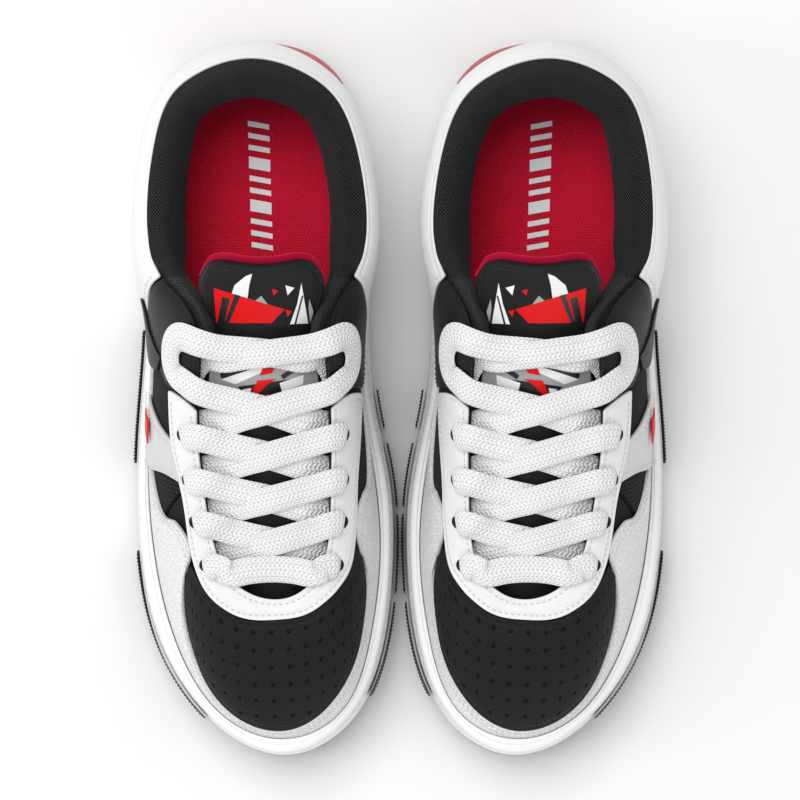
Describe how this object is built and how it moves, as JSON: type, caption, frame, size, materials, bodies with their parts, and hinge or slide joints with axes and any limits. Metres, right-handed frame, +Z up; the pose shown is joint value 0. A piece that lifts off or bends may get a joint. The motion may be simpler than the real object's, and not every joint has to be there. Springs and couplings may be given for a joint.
{
  "type": "pair of laced trainers",
  "caption": "Pair of low-cut laced trainers with cup soles, padded collars, folding padded tongue tops and flat laces.",
  "frame": {"origin": "on the floor under the middle of the pair's bounding box", "axes": "+Z up, toes towards -Y, heels towards +Y, the right shoe at -X and the left shoe at +X"},
  "size_m": [0.2274, 0.3034, 0.1117],
  "materials": {
    "tread_rubber": "matt black rubber",
    "white_rubber": "matt white rubber",
    "red_plastic": "satin red moulding",
    "board": "pressed fibre board",
    "red_textile": "red textile",
    "black_knit": "coarse black knit over foam",
    "black_mesh": "black mesh",
    "stiffener": "thermoformed sheet",
    "white_leather": "white leather, fine grain",
    "black_leather": "black leather, smooth",
    "satin_strap": "pale satin film",
    "woven_label": "woven label with an abstract pattern",
    "white_lace": "flat braided cotton",
    "clear_tip": "clear plastic"
  },
  "bodies": {
    "right_shoe": {"right_outsole": "tread_rubber", "right_midsole": "white_rubber", "right_rubber_wraps": "tread_rubber", "right_heel_clip": "red_plastic", "right_insole_board": "board", "right_footbed": "red_textile", "right_collar_padding": "black_knit", "right_vamp_lining": "black_mesh", "right_side_mesh_outer": "black_mesh", "right_side_mesh_inner": "black_mesh", "right_heel_lining": "black_mesh", "right_heel_counter": "stiffener", "right_toe_puff": "stiffener", "right_heel_quarter": "white_leather", "right_mudguard": "white_leather", "right_toe_box": "black_leather", "right_eyestay": "white_leather", "right_collar_panel_outer": "black_leather", "right_collar_panel_inner": "black_leather", "right_saddle_strap": "satin_strap", "right_strap_badge": "red_plastic", "right_side_fin": "black_leather", "right_tongue": "black_mesh", "right_tongue_label": "woven_label", "right_lace": "white_lace", "right_lace_tips": "clear_tip"},
    "right_tongue_top": {"right_tongue_flap": "black_leather", "right_tongue_lining": "red_textile"},
    "left_shoe": {"left_outsole": "tread_rubber", "left_midsole": "white_rubber", "left_rubber_wraps": "tread_rubber", "left_heel_clip": "red_plastic", "left_insole_board": "board", "left_footbed": "red_textile", "left_collar_padding": "black_knit", "left_vamp_lining": "black_mesh", "left_side_mesh_outer": "black_mesh", "left_side_mesh_inner": "black_mesh", "left_heel_lining": "black_mesh", "left_heel_counter": "stiffener", "left_toe_puff": "stiffener", "left_heel_quarter": "white_leather", "left_mudguard": "white_leather", "left_toe_box": "black_leather", "left_eyestay": "white_leather", "left_collar_panel_outer": "black_leather", "left_collar_panel_inner": "black_leather", "left_saddle_strap": "satin_strap", "left_strap_badge": "red_plastic", "left_side_fin": "black_leather", "left_tongue": "black_mesh", "left_tongue_label": "woven_label", "left_lace": "white_lace", "left_lace_tips": "clear_tip"},
    "left_tongue_top": {"left_tongue_flap": "black_leather", "left_tongue_lining": "red_textile"}
  },
  "joints": [
    {"name": "left_shoe_apart", "type": "slide", "parent": "right_shoe", "child": "left_shoe", "axis": [1, 0, 0], "range_m": [0, 0.15]},
    {"name": "right_tongue_fold", "type": "hinge", "parent": "right_shoe", "child": "right_tongue_top", "pos_m": [-0.057, 0.04164, 0.09624], "axis": [1, 0, 0], "range_deg": [-10, 45], "stiffness_Nm_per_rad": 0.3},
    {"name": "left_tongue_fold", "type": "hinge", "parent": "left_shoe", "child": "left_tongue_top", "pos_m": [0.057, 0.04164, 0.09624], "axis": [1, 0, 0], "range_deg": [-10, 45], "stiffness_Nm_per_rad": 0.3}
  ]
}
